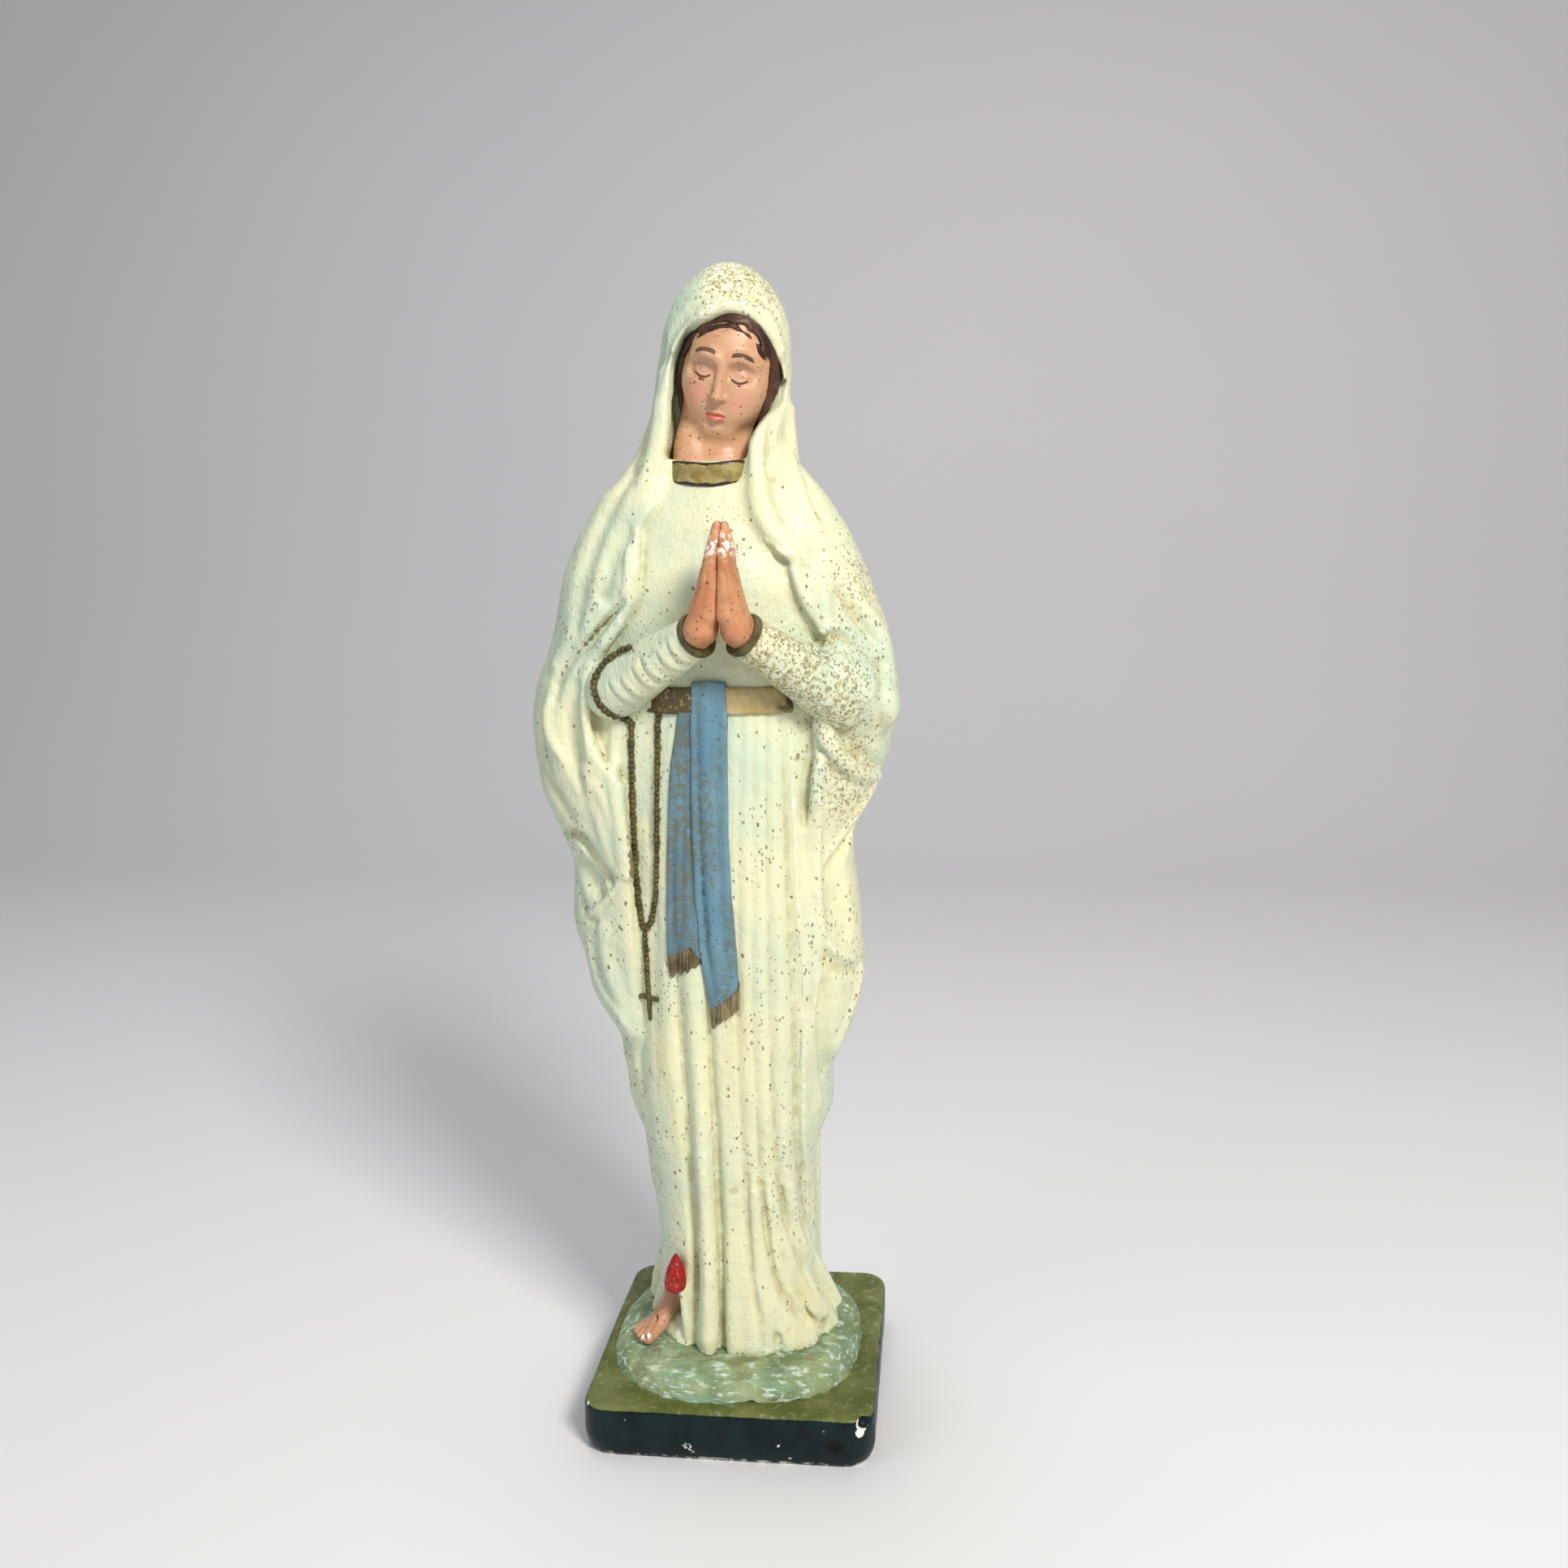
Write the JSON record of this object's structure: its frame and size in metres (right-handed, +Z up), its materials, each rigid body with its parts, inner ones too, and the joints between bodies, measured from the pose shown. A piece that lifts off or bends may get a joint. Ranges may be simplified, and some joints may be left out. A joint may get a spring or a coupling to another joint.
{
  "type": "madonna statue",
  "caption": "Free-standing painted plaster statue of a veiled praying Madonna with joined hands, sash and rosary, on a square plinth.",
  "frame": {"origin": "middle of the plinth's flat underside", "axes": "+Z up, the figure faces -Y, +X is the figure's own left and the viewer's right"},
  "size_m": [0.1923, 0.1588, 0.6],
  "materials": {
    "plinth_paint": "dark blue-green gloss paint, chipped white at the corners, olive green on top",
    "ground_paint": "grey-green matt paint with white and turquoise dry-brush strokes",
    "robe_paint": "ivory eggshell paint with olive-brown speckles and dirt in the folds",
    "bodice_paint": "ivory eggshell paint",
    "mantle_back_paint": "ivory eggshell paint with yellow stains",
    "mantle_left_paint": "ivory eggshell paint with yellow stains and hairline cracks",
    "mantle_right_paint": "ivory eggshell paint with yellow stains and dark furrows",
    "hood_paint": "ivory eggshell paint with olive speckles",
    "face_paint": "pink flesh matt paint, worn",
    "hair_paint": "dark red-brown matt paint",
    "collar_paint": "olive-gold paint with dark brown outlines",
    "foot_paint": "pink flesh paint with white toenails",
    "rose_paint": "dull red paint",
    "spine_iron": "plain rusted iron rod",
    "tie_iron": "plain rusted iron rod",
    "bead_paint": "brown-gold paint",
    "loop_paint": "brown-gold paint",
    "cross_paint": "brown-gold paint",
    "belt_paint": "gold-olive paint with dirt at its ends",
    "sash_paint": "pale blue paint with dirt",
    "long_fringe_paint": "olive-brown paint",
    "short_tail_paint": "pale blue paint with dirt",
    "short_fringe_paint": "olive-brown paint",
    "right_hand_paint": "orange-pink flesh paint with white chips at the fingertips",
    "left_hand_paint": "orange-pink flesh paint with white chips at the fingertips",
    "right_cuff_paint": "dark olive paint",
    "left_cuff_paint": "dark olive paint",
    "right_sleeve_paint": "ivory eggshell paint with olive speckles",
    "left_sleeve_paint": "ivory eggshell paint with olive speckles",
    "right_pin_wire": "plain iron wire",
    "left_pin_wire": "plain iron wire"
  },
  "bodies": {
    "root": {"plinth": "plinth_paint", "ground_mound": "ground_paint", "robe_skirt": "robe_paint", "bodice": "bodice_paint", "mantle_back": "mantle_back_paint", "mantle_left": "mantle_left_paint", "mantle_right": "mantle_right_paint", "hood": "hood_paint", "head": "face_paint", "hair": "hair_paint", "collar_band": "collar_paint", "foot_right": "foot_paint", "rose": "rose_paint", "spine_rod": "spine_iron", "plinth_tie_rods": "tie_iron", "rosary_strands": "bead_paint", "rosary_arm_loop": "loop_paint", "rosary_cross": "cross_paint", "belt": "belt_paint", "sash_long_tail": "sash_paint", "sash_long_fringe": "long_fringe_paint", "sash_short_tail": "short_tail_paint", "sash_short_fringe": "short_fringe_paint", "hand_right": "right_hand_paint", "hand_left": "left_hand_paint", "cuff_right": "right_cuff_paint", "cuff_left": "left_cuff_paint", "sleeve_right": "right_sleeve_paint", "sleeve_left": "left_sleeve_paint", "wrist_pin_right": "right_pin_wire", "wrist_pin_left": "left_pin_wire"}
  },
  "joints": []
}
